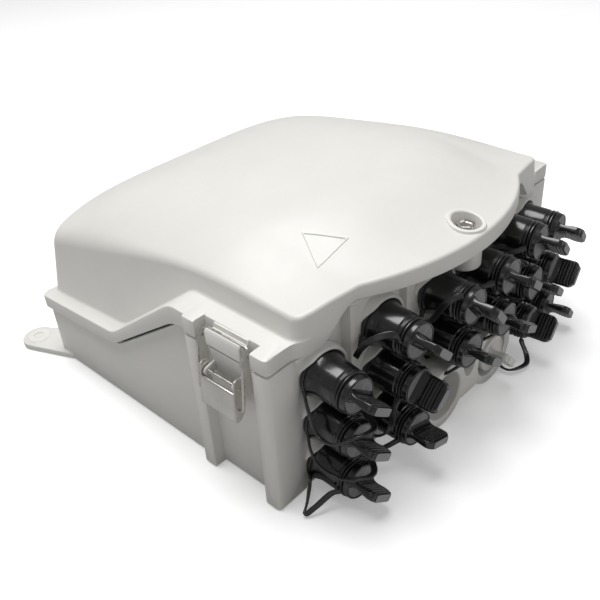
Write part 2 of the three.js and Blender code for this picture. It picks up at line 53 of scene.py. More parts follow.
# ---- Driving dimensions, millimetres ---------------------------------------------------

CENTRE = Vector((0, -5))  # plan point where the roof and floor of both shells close
FLANGE_X = 150
PILLAR_X = 152
FRONT_Y = -125
REAR_Y = 125
BASE_X = 147
RECESS_X = 144.6
CATCH_RECESS_X = 143.2
PILLAR_FOOT_X = 153.2
WALL = 3
GAP = 0.75
PILLAR_GAP = 0.9

PARTING_REAR = 44.5
PARTING_DIP = 50
PARTING_FRONT = 103
DIP_Y = 33
RAMP_TOP_Y = -45
PARTING_HIGH = 122.8
RISE_OUTER_X = 117
RISE_INNER_X = 90

LEDGE_REAR = 55.4
LEDGE_DIP = 61.6
LEDGE_FRONT = 114.4

CROWN_FOOT_X = 139
CROWN_FOOT_Z = 56
DRAFT = 0.157
CORNER_X = 133  # centre of the crown's rear corner
CORNER_Y = 116
CORNER_RADIUS = 6
REAR_CREST = 8
SIDE_CREST = 2.8
VISOR_RADIUS = 155
VISOR_CENTRE_Y = -7
VISOR_KINK_X = 86.5
VISOR_CORNER_X = 123
VISOR_CORNER_Y = -129

CAP_REACH = 32
COLUMNS = (
    (115.0, -157.3, 6.0, (83.5, 50.0, 16.5)),
    (69.6, -165.3, 4.0, (97.5, 64.0, 30.5)),
    (21.0, -171.0, 1.2, (97.0, 63.5)),
)
GRIP_TWISTS = (36, 35, 35, 45, -45, 15, 50, 35, 38, 30, 46, 40, -45, 46, -45, 45)

HINGE_Y = 130
HINGE_Z = 50
BOLT_Y = -148
LATCH_Y = -90.2
GLAND_X = 29
GLAND_Z = 24.5
PANEL_Y = -137.5


def smooth(t):
    t = min(max(t, 0.0), 1.0)
    return t * t * (3 - 2 * t)


def lerp(a, b, t):
    return a + (b - a) * t


def sign(x):
    return -1.0 if x < 0 else 1.0


# ---- Mesh helpers ----------------------------------------------------------------------


class Shape:
    """Points and faces in millimetres, with one material index for each face."""

    def __init__(self):
        self.points = []
        self.faces = []
        self.slots = []

    def add(self, points, faces, slot=0, move=None):
        start = len(self.points)
        for point in points:
            place = Vector(point)
            self.points.append(move @ place if move else place)
        flip = move is not None and move.determinant() < 0
        for face in faces:
            order = [start + i for i in face]
            self.faces.append(order[::-1] if flip else order)
            self.slots.append(slot)
        return self

    def join(self, other, move=None):
        start = len(self.faces)
        self.add(other.points, other.faces, 0, move)
        self.slots[start:] = other.slots
        return self


def loft(rings, cap_first=True, cap_last=True, closed=True):
    """Skins a list of rings that all have the same number of points."""
    count = len(rings[0])
    points = [point for ring in rings for point in ring]
    faces = []
    for i in range(len(rings) - 1):
        for j in range(count if closed else count - 1):
            a = i * count + j
            b = i * count + (j + 1) % count
            faces.append((a, b, b + count, a + count))
    if cap_first:
        faces.append(tuple(range(count))[::-1])
    if cap_last:
        last = (len(rings) - 1) * count
        faces.append(tuple(range(last, last + count)))
    return points, faces


def circle(radius, height, sides):
    step = 2 * math.pi / sides
    return [(radius * math.cos(i * step), radius * math.sin(i * step), height) for i in range(sides)]


def lathe(profile, sides=48, cap_first=True, cap_last=True):
    """Turns (radius, height) pairs about +Z."""
    rings = []
    for radius, height in profile:
        rings.append(circle(radius, height, sides))
    return loft(rings, cap_first, cap_last)


def tube(path, section, up=Vector((0, 0, 1)), closed=False, facing=None):
    """Sweeps a flat (side, up) section along a path; facing(point) can steer its up."""
    path = [Vector(p) for p in path]
    rings = []
    count = len(path)
    for i, point in enumerate(path):
        before = path[(i - 1) % count] if closed or i else path[0]
        after = path[(i + 1) % count] if closed or i < count - 1 else path[-1]
        along = (after - before).normalized()
        if facing:
            up = facing(point)
        up = (up - along * up.dot(along)).normalized()
        side = along.cross(up)
        rings.append([point + side * a + up * b for a, b in section])
    if closed:
        rings.append(rings[0])
    return loft(rings, not closed, not closed)


def round_section(radius, sides=12):
    step = 2 * math.pi / sides
    return [(radius * math.cos(i * step), radius * math.sin(i * step)) for i in range(sides)]


def rounded_rectangle(half_a, half_b, radius, steps=4):
    """Outline of a rectangle with round corners, anticlockwise."""
    points = []
    for corner in range(4):
        centre_a = (half_a - radius) * (1, -1, -1, 1)[corner]
        centre_b = (half_b - radius) * (1, 1, -1, -1)[corner]
        for i in range(steps + 1):
            angle = math.radians(90 * corner + 90 * i / steps)
            points.append(
                (centre_a + radius * math.cos(angle), centre_b + radius * math.sin(angle))
            )
    return points


def smooth_path(controls, steps=10, closed=False):
    """Catmull-Rom curve through the control points."""
    controls = [Vector(c) for c in controls]
    count = len(controls)
    points = []
    spans = count if closed else count - 1
    for i in range(spans):
        p1 = controls[i]
        p2 = controls[(i + 1) % count]
        p0 = controls[(i - 1) % count] if closed or i else p1 * 2 - p2
        p3 = controls[(i + 2) % count] if closed or i < spans - 1 else p2 * 2 - p1
        for k in range(steps):
            t = k / steps
            points.append(
                0.5
                * (
                    2 * p1
                    + (p2 - p0) * t
                    + (2 * p0 - 5 * p1 + 4 * p2 - p3) * t * t
                    + (3 * p1 - p0 - 3 * p2 + p3) * t * t * t
                )
            )
    if not closed:
        points.append(controls[-1])
    return points


def slab(outline, z0, z1, edge=0.6):
    """Prism from a plan outline, with its top and bottom edges rounded over."""
    inner = inset_outline(outline, edge)
    near = inset_outline(outline, edge * 0.3)
    rings = [
        [(x, y, z0) for x, y in inner],
        [(x, y, z0 + edge * 0.3) for x, y in near],
        [(x, y, z0 + edge) for x, y in outline],
        [(x, y, z1 - edge) for x, y in outline],
        [(x, y, z1 - edge * 0.3) for x, y in near],
        [(x, y, z1) for x, y in inner],
    ]
    return loft(rings)


def inset_outline(outline, amount):
    """Moves each corner of an anticlockwise outline inwards along its bisector."""
    count = len(outline)
    moved = []
    for i in range(count):
        here = Vector(outline[i])
        before = (here - Vector(outline[i - 1])).normalized()
        after = (Vector(outline[(i + 1) % count]) - here).normalized()
        normal_a = Vector((-before.y, before.x))
        normal_b = Vector((-after.y, after.x))
        bisector = normal_a + normal_b
        scale = max(bisector.length_squared, 0.6)
        moved.append(tuple(here + bisector * (2 * amount / scale)))
    return moved


def extrude_y(profile, low, high, ends):
    """Prism of an (x, z) profile at the latch; ends are (distance from the end, inset) pairs."""
    stations = [(low + step, inset) for step, inset in ends]
    stations += [(high - step, inset) for step, inset in reversed(ends)]
    rings = []
    for y, inset in stations:
        outline = inset_outline(profile, inset) if inset else profile
        rings.append([(x, LATCH_Y + y, z) for x, z in outline])
    return loft(rings)


def block(x0, x1, y0, y1, z0, z1, radius=0.8):
    """Box with rounded upright edges and softened top and bottom edges."""
    outline = rounded_rectangle((x1 - x0) / 2, (y1 - y0) / 2, radius, 3)
    centre_x, centre_y = (x0 + x1) / 2, (y0 + y1) / 2
    outline = [(x + centre_x, y + centre_y) for x, y in outline]
    return slab(outline, z0, z1, min(radius, 0.6))


AXIS_X = Matrix(((0, 0, 1, 0), (1, 0, 0, 0), (0, 1, 0, 0), (0, 0, 0, 1)))
AXIS_MINUS_Y = Matrix(((1, 0, 0, 0), (0, 0, -1, 0), (0, 1, 0, 0), (0, 0, 0, 1)))
FLIP_X = Matrix.Diagonal((-1, 1, 1, 1))


def shift(x, y, z):
    return Matrix.Translation((x, y, z))


def make_piece(name, shape, materials, body, replaces=(), sharp=32, merge=0.002):
    """Turns a Shape into a shaded object that rides on a body."""
    mesh = bpy.data.meshes.new(name)
    mesh.from_pydata([point * MM for point in shape.points], [], shape.faces)
    for material in materials:
        mesh.materials.append(material)
    mesh.polygons.foreach_set("material_index", shape.slots)
    clean_mesh(mesh, merge * MM)
    mesh.polygons.foreach_set("use_smooth", [True] * len(mesh.polygons))
    mesh.set_sharp_from_angle(angle=math.radians(sharp))
    mesh.update()
    piece = bpy.data.objects.new(name, mesh)
    bpy.context.scene.collection.objects.link(piece)
    if replaces:
        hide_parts(*replaces)
    if body:
        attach(piece, body)
    return piece


def clean_mesh(mesh, distance):
    """Merges doubled points, drops collapsed faces and turns every face outwards."""
    work = bmesh.new()
    work.from_mesh(mesh)
    bmesh.ops.remove_doubles(work, verts=work.verts, dist=distance)
    bmesh.ops.dissolve_degenerate(work, edges=work.edges, dist=distance * 0.5)
    bmesh.ops.recalc_face_normals(work, faces=work.faces)
    work.to_mesh(mesh)
    work.free()


# ---- Materials -------------------------------------------------------------------------

# Sockets of the mix node that carry colours.
COLOUR_A = 6
COLOUR_B = 7
COLOUR_OUT = 2


def noise(tree, scale, detail=3.0, rough=0.6):
    node = tree.nodes.new("ShaderNodeTexNoise")
    node.inputs["Scale"].default_value = scale
    node.inputs["Detail"].default_value = detail
    node.inputs["Roughness"].default_value = rough
    coordinates = tree.nodes.new("ShaderNodeTexCoord")
    tree.links.new(coordinates.outputs["Object"], node.inputs["Vector"])
    return node.outputs["Fac"]


def ramp(tree, source, low, high, start=0.35, end=0.65):
    node = tree.nodes.new("ShaderNodeMapRange")
    node.inputs["From Min"].default_value = start
    node.inputs["From Max"].default_value = end
    node.inputs["To Min"].default_value = low
    node.inputs["To Max"].default_value = high
    tree.links.new(source, node.inputs["Value"])
    return node.outputs["Result"]


def mix_colour(tree, factor, first, second):
    """Mix of two colours, each a plain (r, g, b) or the output of another node."""
    node = tree.nodes.new("ShaderNodeMix")
    node.data_type = "RGBA"
    tree.links.new(factor, node.inputs["Factor"])
    for index, value in ((COLOUR_A, first), (COLOUR_B, second)):
        if isinstance(value, tuple):
            node.inputs[index].default_value = (*value, 1)
        else:
            tree.links.new(value, node.inputs[index])
    return node.outputs[COLOUR_OUT]


def edge_mask(tree):
    """Bright on convex edges, from the pointiness of the mesh; it places the lighter edge colour that
    stands for wear and for a painted highlight.
    """
    geometry = tree.nodes.new("ShaderNodeNewGeometry")
    return ramp(tree, geometry.outputs["Pointiness"], 0.0, 1.0, 0.55, 0.64)


def plastic(name, colour, roughness, grain, coat=0.0, shade=0.06, edge_wear_and_highlight=0.25, metallic=0.0):
    """Moulded surface: mottled colour, convex edges lightened as wear and as a painted highlight,
    uneven gloss and a fine eroded grain.
    """
    material = bpy.data.materials.new(name)
    material.use_nodes = True
    tree = material.node_tree
    shader = tree.nodes["Principled BSDF"]
    darker = tuple(c * (1 - shade) for c in colour)
    # Convex edges turn lighter: partly edge wear, partly a painted highlight along the edges.
    worn_and_highlit = tuple(min(1.0, c * (1 + edge_wear_and_highlight) + 0.02 * edge_wear_and_highlight) for c in colour)
    mottled = mix_colour(tree, ramp(tree, noise(tree, 38), 0, 1), darker, colour)
    edged = mix_colour(tree, edge_mask(tree), mottled, worn_and_highlit)
    tree.links.new(edged, shader.inputs["Base Color"])
    gloss = ramp(tree, noise(tree, 90, 4), roughness * 0.9, roughness * 1.12)
    tree.links.new(gloss, shader.inputs["Roughness"])
    shader.inputs["Metallic"].default_value = metallic
    shader.inputs["Coat Weight"].default_value = coat
    shader.inputs["Coat Roughness"].default_value = 0.12
    bump = tree.nodes.new("ShaderNodeBump")
    bump.inputs["Strength"].default_value = grain
    bump.inputs["Distance"].default_value = 0.0002
    tree.links.new(noise(tree, 1800, 2), bump.inputs["Height"])
    tree.links.new(bump.outputs["Normal"], shader.inputs["Normal"])
    return material


def brushed_metal(name, colour, roughness, direction):
    """Bright metal with fine scratches drawn out along one axis."""
    material = plastic(name, colour, roughness, 0.05, metallic=1.0, shade=0.15, edge_wear_and_highlight=0.15)
    tree = material.node_tree
    shader = tree.nodes["Principled BSDF"]
    coordinates = tree.nodes.new("ShaderNodeTexCoord")
    mapping = tree.nodes.new("ShaderNodeMapping")
    mapping.inputs["Scale"].default_value = direction
    scratches = tree.nodes.new("ShaderNodeTexNoise")
    scratches.inputs["Scale"].default_value = 220
    tree.links.new(coordinates.outputs["Object"], mapping.inputs["Vector"])
    tree.links.new(mapping.outputs["Vector"], scratches.inputs["Vector"])
    gloss = ramp(tree, scratches.outputs["Fac"], roughness * 0.7, roughness * 1.4)
    tree.links.new(gloss, shader.inputs["Roughness"])
    return material


# The edge setting in these finishes lightens convex edges, partly as wear and partly as a painted
# highlight.
SHELL = plastic("shell_abs", (0.76, 0.75, 0.715), 0.38, 0.10, shade=0.02, edge_wear_and_highlight=0.10)
SHELL_BRIGHT = plastic("shell_bright", (0.82, 0.81, 0.77), 0.38, 0.08, shade=0.02, edge_wear_and_highlight=0.12)
BLACK = plastic("cap_gloss", (0.009, 0.009, 0.010), 0.24, 0.12, coat=0.6, shade=0.3, edge_wear_and_highlight=0.8)
BLACK_FACE = plastic("cap_matt_face", (0.30, 0.30, 0.31), 0.55, 0.35, shade=0.12)
STRAP = plastic("tether_rubber", (0.020, 0.020, 0.022), 0.30, 0.10, coat=0.4, shade=0.3)
SEAL = plastic("seal_silicone", (0.06, 0.06, 0.065), 0.7, 0.3)
STEEL = brushed_metal("steel_wire", (0.62, 0.60, 0.57), 0.28, (1, 1, 12))
SHEET = brushed_metal("steel_sheet", (0.66, 0.64, 0.61), 0.40, (1, 14, 1))
BRASS = brushed_metal("brass", (0.62, 0.44, 0.18), 0.3, (1, 1, 8))
ADAPTER = plastic("adapter_black", (0.012, 0.016, 0.014), 0.4, 0.2)
TRAY = plastic("tray_plastic", (0.05, 0.052, 0.06), 0.5, 0.2)
CLEAR = plastic("clear_sheet", (0.70, 0.74, 0.76), 0.25, 0.05)
INNER = plastic("inner_abs", (0.62, 0.61, 0.58), 0.5, 0.15)


# ---- Curves shared by both shells ------------------------------------------------------


def soft_steps(y, knots, softness):
    """Height along a line of (y, z) knots, with its corners rounded over."""

    def straight(at):
        for (y0, z0), (y1, z1) in zip(knots, knots[1:]):
            if at >= y1:
                return lerp(z0, z1, (y0 - at) / (y0 - y1))
        return knots[-1][1]

    samples = 8
    total = 0.0
    for i in range(samples + 1):
        total += straight(y + softness * (2 * i / samples - 1))
    return total / (samples + 1)


def side_parting(y):
    knots = (
        (200, PARTING_REAR),
        (REAR_Y, PARTING_REAR),
        (DIP_Y, PARTING_DIP),
        (RAMP_TOP_Y, PARTING_FRONT),
        (-200, PARTING_FRONT),
    )
    return soft_steps(y, knots, 7)


def side_ledge(y):
    knots = (
        (200, LEDGE_REAR),
        (REAR_Y, LEDGE_REAR),
        (31, LEDGE_DIP),
        (-43, LEDGE_FRONT + 1.4),
        (-125, LEDGE_FRONT),
        (-200, LEDGE_FRONT),
    )
    return soft_steps(y, knots, 5)


def front_parting(x):
    t = (RISE_OUTER_X - abs(x)) / (RISE_OUTER_X - RISE_INNER_X)
    return lerp(PARTING_FRONT, PARTING_HIGH, smooth(t))


def front_edge(x):
    side = abs(x)
    kink_y = VISOR_CENTRE_Y - math.sqrt(VISOR_RADIUS**2 - VISOR_KINK_X**2)
    if side <= VISOR_KINK_X:
        return VISOR_CENTRE_Y - math.sqrt(VISOR_RADIUS**2 - side**2)
    if side <= VISOR_CORNER_X:
        t = (side - VISOR_KINK_X) / (VISOR_CORNER_X - VISOR_KINK_X)
        return lerp(kink_y, VISOR_CORNER_Y, t)
    return lerp(VISOR_CORNER_Y, FRONT_Y, smooth((side - VISOR_CORNER_X) / 12))


def crest_height(y):
    """Height at which the side walls of the crown meet its top."""
    return 131 - 0.1 * (math.hypot(y + 30, 30) + y + 30)


def crown_half_width(z):
    return CROWN_FOOT_X - DRAFT * (z - CROWN_FOOT_Z)


def crown_height(x, y):
    """Outer surface of the lid."""
    crest = crest_height(y)
    across = min(abs(x) / crown_half_width(crest), 1.06)
    front_lift = 14 * max(0.0, (-y - 30) / 95) ** 2
    rear_drop = 8 * max(0.0, (y - 50) / 63) ** 2
    if y > -30:
        bulge = 41.5 * (1 - ((y + 30) / 215) ** 1.4)
    else:
        bulge = 41.5 * (1 - ((y + 30) / 185) ** 2)
    ridge = 110 + front_lift - rear_drop + bulge
    power = lerp(3.0, 4.5, smooth((y + 20) / 130))
    height = crest + (ridge - crest) * (1 - across**power)
    edge = 135.5 - 7 * across**2.5
    return lerp(edge, height, smooth((y - front_edge(x)) / 82))


# ---- Lid -------------------------------------------------------------------------------


def lid_half_stations():
    """Half of the lid's plan from the hinge to the visor tip.

    Each station holds the flange edge, the foot of the crown wall, the inner edge of the
    underside, the bottom and ledge heights, the draft and the crest radius.
    """
    stations = []

    def put(outer, foot, inner, bottom, ledge, draft, crest):
        stations.append((outer, foot, inner, bottom, ledge, draft, crest))

    for i in range(15):
        x = 143 * i / 14
        foot = (x * 0.93, 122)
        put((x, REAR_Y), foot, (x * 0.88, 118), PARTING_REAR + GAP, LEDGE_REAR, DRAFT, REAR_CREST)
    for i in range(1, 11):
        a = math.radians(9 * i)
        outer = (144 + 6 * math.sin(a), 119 + 6 * math.cos(a))
        foot = (CORNER_X + CORNER_RADIUS * math.sin(a), CORNER_Y + CORNER_RADIUS * math.cos(a))
        inner = (126 + 9 * math.sin(a), 109 + 9 * math.cos(a))
        ledge = side_ledge(foot[1])
        put(outer, foot, inner, side_parting(outer[1]) + GAP, ledge, DRAFT, REAR_CREST)
    edge = [(FLANGE_X, 108 - 3.0 * i) for i in range(55)]
    edge += [(FLANGE_X, -57.2), (151.4, -57.4), (PILLAR_X, -58.2)]
    edge += [(PILLAR_X, -66.6), (151.4, -67.4), (CATCH_RECESS_X, -67.6)]
    edge += [(CATCH_RECESS_X, -67.6 - 45.2 * i / 8) for i in range(1, 9)]
    edge += [(PILLAR_X, -113.2), (PILLAR_X, -118.0), (PILLAR_X, -122.2)]
    edge += [(151.6, -123.8), (150.6, -124.7), (149.2, FRONT_Y)]
    for x, y in edge:
        ledge = side_ledge(y)
        foot = (crown_half_width(ledge), y if y > -112 else lerp(-112, -117, (-112 - y) / 13))
        inner = (foot[0] - WALL, foot[1])
        crest = lerp(REAR_CREST, SIDE_CREST, smooth((100 - y) / 170))
        put((x, y), foot, inner, side_parting(y) + GAP, ledge, DRAFT, crest)
    for i in range(1, 13):
        t = i / 12
        a = math.radians(90 * (1 - t))
        foot = (121.8 + 8 * math.sin(a), -120.5 - 8.2 * math.cos(a))
        x = lerp(149.0, 122.2, t)
        outer = (x, front_edge(x))
        inner = (lerp(126.5, 119, t), lerp(-114, -120, t))
        draft = lerp(DRAFT, 0.05, t)
        put(outer, foot, inner, front_parting(x) + GAP, LEDGE_FRONT, draft, lerp(3.4, 2.4, t))
    count = 46
    for i in range(1, count + 1):
        x = lerp(121.5, 0, i / count)
        y = front_edge(x)
        bottom = front_parting(x) + GAP
        inner = (x * 0.97, -120 if x > 92 else -127)
        ledge = max(LEDGE_FRONT, bottom + 2.2)
        put((x, y), (x, y), inner, bottom, ledge, 0.05, 2.4)
    return stations


def mirror_station(station):
    outer, foot, inner, *rest = station
    return ((-outer[0], outer[1]), (-foot[0], foot[1]), (-inner[0], inner[1]), *rest)


def inward_normals(outline):
    """Unit plan normals of a closed outline, turned to face the centre of the box."""
    normals = []
    count = len(outline)
    for i, point in enumerate(outline):
        ahead = Vector(outline[(i + 2) % count]) - Vector(outline[i - 2])
        normal = Vector((-ahead.y, ahead.x)).normalized()
        if normal.dot(CENTRE - Vector(point)) < 0:
            normal = -normal
        normals.append(normal)
    return normals


def rear_inward(x, y):
    """Inward direction of the rear half, shared out so that a tight corner keeps its radius."""
    return Vector((-max(-1, min(1, x / CORNER_X)), -0.3 * min(1, y / CORNER_Y)))


def lid_column(station, normal):
    """All points of one lid station, from the outer bottom edge up and over to the centre."""
    outer, foot, _, bottom, ledge, draft, crest = station
    outer = Vector(outer)
    foot = Vector(foot)
    out = -normal
    shelf = outer - foot
    across = shelf.normalized() * min(1.0, shelf.length / 3.6)

    def at(plan, z):
        return (plan.x, plan.y, z)

    points = [
        at(outer - out * 0.7, bottom),
        at(outer - out * 0.2, bottom + 0.2),
        at(outer, bottom + 0.7),
        at(outer, ledge - 1.4),
        at(outer - across * 0.4, ledge - 0.4),
        at(outer - across * 1.4, ledge),
        at(foot + across * 1.8, ledge),
        at(foot + across * 0.6, ledge + 0.6),
        at(foot, ledge + 1.8),
    ]
    top = foot
    for _ in range(6):  # settles the point where the drafted wall meets the crown
        height = crown_height(top.x, top.y)
        top = foot + normal * draft * (height - ledge)
    size = min(crest, 0.8 * (height - ledge))
    low = foot + normal * draft * (height - size - ledge)
    start = Vector((low.x, low.y, height - size))
    corner = Vector((top.x, top.y, height))
    reach = top + normal * size
    end = Vector((reach.x, reach.y, crown_height(reach.x, reach.y)))
    for i in range(9):
        t = i / 8
        spot = start * (1 - t) ** 2 + corner * 2 * t * (1 - t) + end * t * t
        points.append(tuple(spot))
    crown_rings = 30
    for i in range(1, crown_rings + 1):
        t = (i / crown_rings) ** 1.15
        plan = reach.lerp(CENTRE, t * 0.95)
        points.append(at(plan, crown_height(plan.x, plan.y)))
    return points


def lid_inner_column(station, normal):
    """Inside of the same station, from the centre back down to the underside."""
    outer, foot, inner, bottom, _, draft, _ = station
    shelf = min(1.0, (Vector(outer) - Vector(foot)).length / 8)
    inner = Vector(inner)
    points = []
    low = inner + normal * 1.0
    high = low + normal * draft * 50 * shelf + normal * 6
    for i in range(8, 0, -1):
        plan = high.lerp(CENTRE, 0.996 * i / 8)
        points.append((plan.x, plan.y, crown_height(plan.x, plan.y) - WALL))
    roof = crown_height(high.x, high.y) - WALL
    points.append((high.x, high.y, roof - 0.5))
    bend = high - normal * 4
    points.append((bend.x, bend.y, min(roof - 5, crown_height(low.x, low.y) - 8)))
    points.append((low.x, low.y, bottom + 3))
    points.append((inner.x, inner.y, bottom))
    return points


def lid_shape():
    half = lid_half_stations()
    stations = half + [mirror_station(s) for s in half[-2:0:-1]]
    normals = inward_normals([s[1] for s in stations])
    columns = []
    for station, normal in zip(stations, normals):
        x, y = station[1]
        inward = rear_inward(x, y) if y > 0 else normal
        columns.append(lid_inner_column(station, inward) + lid_column(station, inward))
    rings = list(zip(*columns))
    points, faces = loft(rings, False, False)
    count = len(columns)
    for start, turn in ((0, -1), ((len(rings) - 1) * count, 1)):
        level = sum(point[2] for point in points[start : start + count]) / count
        hub = len(points)
        points.append((CENTRE.x, CENTRE.y, level))
        for j in range(count):
            faces.append((start + j, start + (j + 1) % count, hub)[::turn])
    return Shape().add(points, faces)


def catch_block():
    """Hook of one side of the lid: a block with a groove behind its lip."""
    profile = [
        (141.0, 103.5),
        (150.9, 103.5),
        (151.5, 104.1),
        (151.5, 112.6),
        (150.2, 114.3),
        (149.6, 114.2),
        (149.2, 112.6),
        (148.6, 111.6),
        (144.6, 111.6),
        (144.0, 114.3),
        (141.0, 114.3),
    ]
    return extrude_y(profile, -14.2, 14.2, ((0, 0.7), (0.3, 0.2), (0.8, 0)))


def bolt_collar():
    """Ring that stands on the crown round the lock bolt."""
    profile = [
        (9.2, -6.5),
        (9.2, 0.9),
        (9.5, 1.5),
        (10.1, 1.8),
        (11.3, 1.8),
        (11.9, 1.4),
        (12.1, 0.6),
        (12.6, -1.0),
        (12.8, -6.0),
        (9.2, -6.5),
    ]
    points, faces = lathe(profile, 64, False, False)
    on_crown = [(p[0], p[1], p[2] + crown_height(p[0], p[1] + BOLT_Y)) for p in points]
    return on_crown, faces


def triangle_emblem():
    """Blank raised triangle on the crown."""
    base_left = Vector((-91.0, -109.0))
    base_right = Vector((-63.0, -109.0))
    apex = Vector((-77.0, -84.8))
    middle = (base_left + base_right + apex) / 3
    corners = (base_left, base_right, apex)
    section = ((1.06, -0.6), (1.0, 0.1), (0.97, 0.55), (0.90, 0.55), (0.87, 0.1), (0.85, -0.6))
    rings = []
    for scale, lift in section:
        ring = []
        for k in range(3):
            start, end = corners[k], corners[(k + 1) % 3]
            for i in range(14):
                spot = middle + (start.lerp(end, i / 14) - middle) * scale
                ring.append((spot.x, spot.y, crown_height(spot.x, spot.y) + lift))
        rings.append(ring)
    rings.append(rings[0])
    return loft(rings, False, False)


def lid_lug(x):
    shape = Shape()
    knuckle = lathe([(3.9, 0), (4.5, 0.6), (4.5, 10.8), (3.9, 11.4)], 32)
    shape.add(*knuckle, move=shift(x, HINGE_Y, HINGE_Z) @ AXIS_X)
    shape.add(*block(x, x + 11.4, REAR_Y - 3, HINGE_Y, HINGE_Z - 0.5, HINGE_Z + 4.5))
    return shape


def build_lid():
    shape = lid_shape()
    for move in (Matrix.Identity(4), FLIP_X):
        shape.add(*catch_block(), move=move)
    shape.add(*triangle_emblem())
    for x in (-99.7, 88.3):
        shape.join(lid_lug(x))
    boss = [(3.4, 131), (11.0, 131), (11.3, 124.2), (11.0, 123.5), (3.4, 123.5)]
    shape.add(*lathe(boss, 48, False, False), move=shift(0, BOLT_Y, 0))
    piece = make_piece("lid", shape, [SHELL], "lid", ["lid_shell"], sharp=38)
    cut(piece, Shape().add(*lathe([(9.3, 128.6), (9.3, 152)], 56), move=shift(0, BOLT_Y, 0)))
    collar = Shape().add(*bolt_collar(), move=shift(0, BOLT_Y, 0))
    floor = lathe([(3.3, 129.4), (9.4, 129.4), (9.4, 128.4), (3.3, 128.4)], 48, False, False)
    collar.add(*floor, move=shift(0, BOLT_Y, 0))
    make_piece("lid_bolt_collar", collar, [SHELL_BRIGHT], "lid")


def cut(piece, shape):
    """Subtracts a closed shape from a piece and applies the result."""
    mesh = bpy.data.meshes.new("cutter")
    mesh.from_pydata([point * MM for point in shape.points], [], shape.faces)
    clean_mesh(mesh, 1e-6)
    cutter = bpy.data.objects.new("cutter", mesh)
    bpy.context.scene.collection.objects.link(cutter)
    modifier = piece.modifiers.new("cut", "BOOLEAN")
    modifier.operation = "DIFFERENCE"
    modifier.solver = "EXACT"
    modifier.object = cutter
    graph = bpy.context.evaluated_depsgraph_get()
    result = bpy.data.meshes.new_from_object(piece.evaluated_get(graph))
    piece.modifiers.remove(modifier)
    piece.data = result
    bpy.data.objects.remove(cutter)


# ---- Base ------------------------------------------------------------------------------


def base_half_stations():
    """Half of the base plan from the hinge to the middle of the port panel."""
    stations = []

    def put(bottom, top, inner, height):
        stations.append((bottom, top, inner, height))

    for i in range(12):
        x = 141 * i / 11
        put((x, 124.0), (x, 124.0), (x, 121.0), PARTING_REAR)
    for i in range(1, 9):
        a = math.radians(90 * i / 8)
        spot = (141 + 6 * math.sin(a), 118 + 6 * math.cos(a))
        inner = (141 + 3 * math.sin(a), 118 + 3 * math.cos(a))
        put(spot, spot, inner, side_parting(spot[1]))
    edge = [(BASE_X, BASE_X, 108 - 3.0 * i) for i in range(55)]
    edge += [(147.2, 147.2, -57.0), (152.6, 151.4, -57.4), (PILLAR_FOOT_X, PILLAR_X, -58.2)]
    edge += [(PILLAR_FOOT_X, PILLAR_X, -66.6), (152.6, 151.4, -67.4), (RECESS_X, RECESS_X, -67.8)]
    edge += [(RECESS_X, RECESS_X, -67.8 - 44.8 * i / 8) for i in range(1, 9)]
    edge += [(152.6, 151.4, -113.0), (PILLAR_FOOT_X, PILLAR_X, -113.8)]
    edge += [(PILLAR_FOOT_X, PILLAR_X, -122.2), (152.8, 151.6, -123.8)]
    edge += [(151.8, 150.6, -124.7), (150.2, 149.2, FRONT_Y)]
    for low_x, high_x, y in edge:
        inner_y = max(y, -121)
        ramp_gap = 1.7 * smooth((38 - y) / 8) * smooth((y + 46) / 8)
        pillar_gap = PILLAR_GAP * smooth((-46 - y) / 8)
        height = side_parting(y) - ramp_gap - pillar_gap
        put((low_x, y), (high_x, y), (RECESS_X - WALL, inner_y), height)
    for x, y in ((140.0, FRONT_Y), (134.0, FRONT_Y), (129.0, FRONT_Y), (127.5, -124.0)):
        put((x, y), (x, y), (x - 2, -120), PARTING_FRONT - PILLAR_GAP)
    steps = [(lerp(122, 93, i / 12), -124.0) for i in range(13)]
    steps += [(91.6, -124.8), (90.2, -131.2), (89.0, -132.0)]
    steps += [(lerp(85, 47, i / 8), -132.0) for i in range(9)]
    steps += [(45.8, -132.6), (44.2, -137.0), (43.0, PANEL_Y)]
    steps += [(lerp(38, 0, i / 8), PANEL_Y) for i in range(9)]
    for x, y in steps:
        put((x, y), (x, y), (x * 0.975, y + 4), front_parting(x))
    return stations


def base_column(station, normal):
    bottom, top, inner, height = station
    low = Vector(bottom)
    high = Vector(top)
    inner = Vector(inner)
    out = -normal

    def at(plan, z):
        return (plan.x, plan.y, z)

    return [
        at(low - out * 1.3, 0),
        at(low - out * 0.4, 0.4),
        at(low, 1.3),
        at(low.lerp(high, 0.5), height * 0.5),
        at(high, height - 0.7),
        at(high - out * 0.2, height - 0.2),
        at(high - out * 0.7, height),
        at(inner, height),
        at(inner, WALL + 1.5),
        at(inner.lerp(CENTRE, 0.012), WALL),
    ]


def base_wall_shape():
    half = base_half_stations()
    stations = half + [mirror_station(s) for s in half[-2:0:-1]]
    normals = inward_normals([s[0] for s in stations])
    columns = [base_column(s, n) for s, n in zip(stations, normals)]
    return Shape().add(*loft(list(zip(*columns))))


def port_seats():
    """Seat of each port as (x, y, z, fan) in the order of the port numbers."""
    seats = []
    order = [(-1, c) for c in COLUMNS] + [(1, c) for c in reversed(COLUMNS)]
    for side, (x, y, fan, rows) in order:
        angle = math.radians(fan) * side
        for z in rows:
            seats.append(
                (side * x - CAP_REACH * math.sin(angle), y + CAP_REACH * math.cos(angle), z, angle)
            )
    return seats


SEATS = port_seats()


def port_frame(seat, twist=0.0):
    """Matrix that takes a shape made along +Z to a port, pointing out of the panel."""
    x, y, z, fan = seat
    turn = Matrix.Rotation(fan, 4, "Z")
    return shift(x, y, z) @ turn @ Matrix.Rotation(twist, 4, "Y") @ AXIS_MINUS_Y


